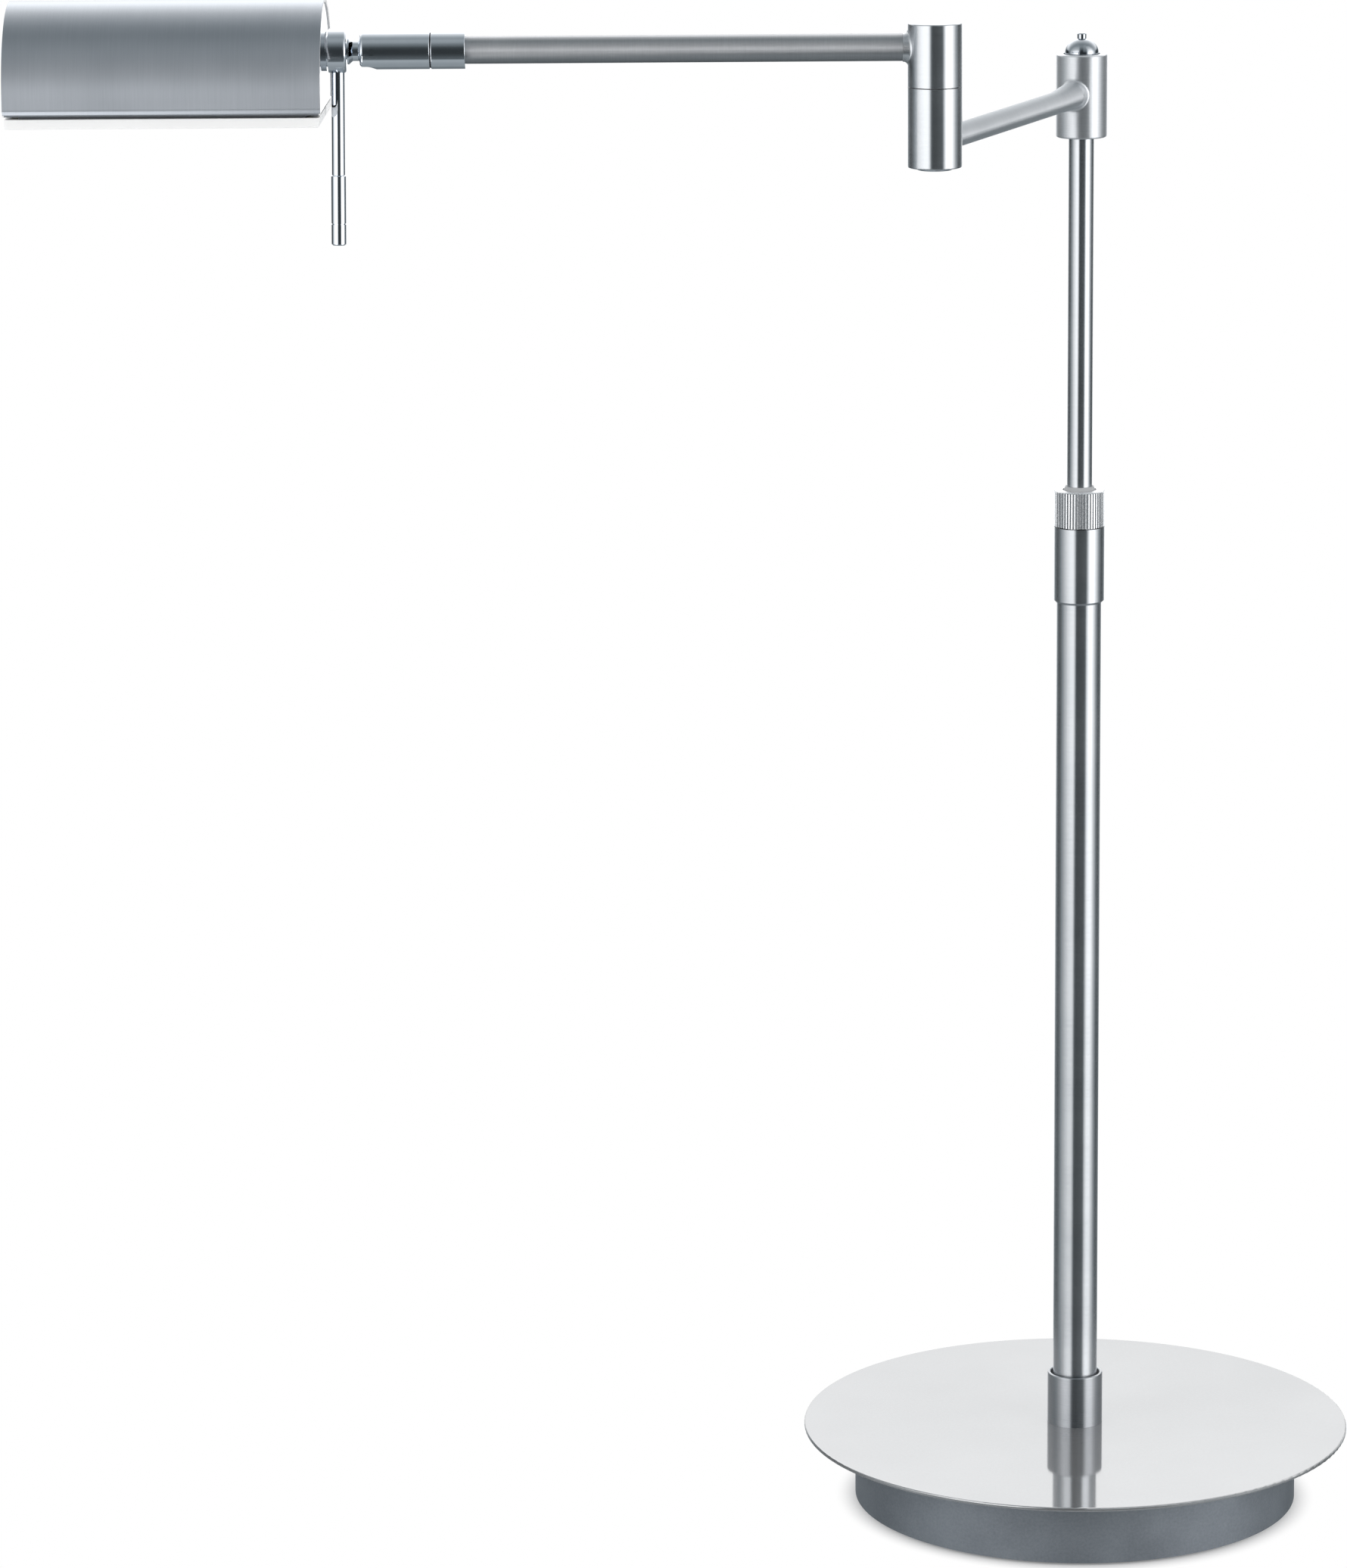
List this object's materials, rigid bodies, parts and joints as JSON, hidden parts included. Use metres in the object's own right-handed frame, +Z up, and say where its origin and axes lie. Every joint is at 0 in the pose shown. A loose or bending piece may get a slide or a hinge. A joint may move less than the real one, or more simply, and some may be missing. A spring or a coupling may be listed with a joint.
{
  "type": "pharmacy lamp",
  "caption": "Swing-arm reading lamp: round weighted base, telescopic column with clamp ring, jointed arms and a half-round metal shade with a lever.",
  "frame": {"origin": "on the floor, under the column, at the centre of the round base", "axes": "+Z up along the column; the long arm runs along -X at rest; the pictured side faces -Y; the cord inlet faces +Y"},
  "size_m": [0.4852, 0.2787, 0.5959],
  "materials": {
    "satin_nickel": "satin brushed",
    "satin_shell": "satin brushed",
    "bright_plate": "mirror polished",
    "base_plate": "fine satin",
    "fluted_metal": "turned",
    "plain_steel": "plain",
    "ballast_iron": "rough cast",
    "dark_rubber": "matte",
    "grey_plastic": "matte",
    "black_plastic": "matte",
    "opal": "opal",
    "bar_aluminium": "extruded",
    "board": "coated board",
    "light_dot": "yellow resin"
  },
  "bodies": {
    "base": {"base_top": "base_plate", "base_drum": "satin_nickel", "ballast": "ballast_iron", "bottom_cover": "plain_steel", "cover_screws": "plain_steel", "foot_pad": "dark_rubber", "driver": "black_plastic", "cord_gland": "black_plastic", "base_nipple": "plain_steel", "base_washer": "plain_steel", "base_nut": "plain_steel", "tube_plug": "plain_steel", "lower_tube": "satin_nickel", "base_collar": "satin_nickel", "top_sleeve": "satin_nickel", "rod_bush": "grey_plastic"},
    "clamp_ring": {"clamp_ring": "fluted_metal"},
    "post": {"post_rod": "satin_nickel", "rod_guide": "grey_plastic", "hub_washer": "grey_plastic", "dome_cap": "bright_plate", "switch_body": "black_plastic"},
    "button": {"button": "bright_plate"},
    "swing_arm": {"hub_barrel": "satin_nickel", "short_arm": "satin_nickel", "elbow_lower": "satin_nickel", "elbow_cap": "bright_plate"},
    "long_arm": {"elbow_upper": "satin_nickel", "elbow_washer": "grey_plastic", "elbow_retainer": "plain_steel", "elbow_screw": "plain_steel", "long_arm": "satin_nickel", "arm_ferrule": "bright_plate", "swivel_screw": "plain_steel"},
    "coupling": {"coupling": "bright_plate", "knuckle_pin": "plain_steel"},
    "stem": {"stem": "bright_plate", "stem_washer": "plain_steel", "stem_nut": "plain_steel"},
    "shade": {"shade_hub": "bright_plate", "hub_flange": "bright_plate", "shade_shell": "satin_shell", "end_plate_inner": "bright_plate", "end_plate_outer": "bright_plate", "diffuser": "opal", "lamp_bar": "bar_aluminium", "light_board": "board", "light_dots": "light_dot", "lever_rod": "bright_plate", "lever_grip": "bright_plate"}
  },
  "joints": [
    {"name": "post_slide", "type": "slide", "parent": "base", "child": "post", "axis": [0, 0, 1], "range_m": [-0.128, 0.1]},
    {"name": "clamp_turn", "type": "hinge", "parent": "base", "child": "clamp_ring", "pos_m": [0, 0, 0.3889], "axis": [0, 0, 1], "range_deg": [0, 180]},
    {"name": "hub_turn", "type": "hinge", "parent": "post", "child": "swing_arm", "pos_m": [0, 0, 0.54445], "axis": [0, 0, 1], "range_deg": [-170, 170]},
    {"name": "button_press", "type": "slide", "parent": "post", "child": "button", "axis": [0, 0, -1], "range_m": [0, 0.0012], "stiffness_N_per_m": 600, "springref_m": -0.0006},
    {"name": "elbow_turn", "type": "hinge", "parent": "swing_arm", "child": "long_arm", "pos_m": [-0.05749, -0.14265, 0.5778], "axis": [0, 0, 1], "range_deg": [-50, 150]},
    {"name": "coupling_turn", "type": "hinge", "parent": "long_arm", "child": "coupling", "pos_m": [-0.23749, -0.14265, 0.5778], "axis": [-1, 0, 0], "range_deg": [-90, 90]},
    {"name": "stem_tilt", "type": "hinge", "parent": "coupling", "child": "stem", "pos_m": [-0.25384, -0.14265, 0.5778], "axis": [0, -1, 0], "range_deg": [0, 70]},
    {"name": "shade_turn", "type": "hinge", "parent": "stem", "child": "shade", "pos_m": [-0.26684, -0.14265, 0.5778], "axis": [-1, 0, 0], "range_deg": [-150, 150]}
  ]
}
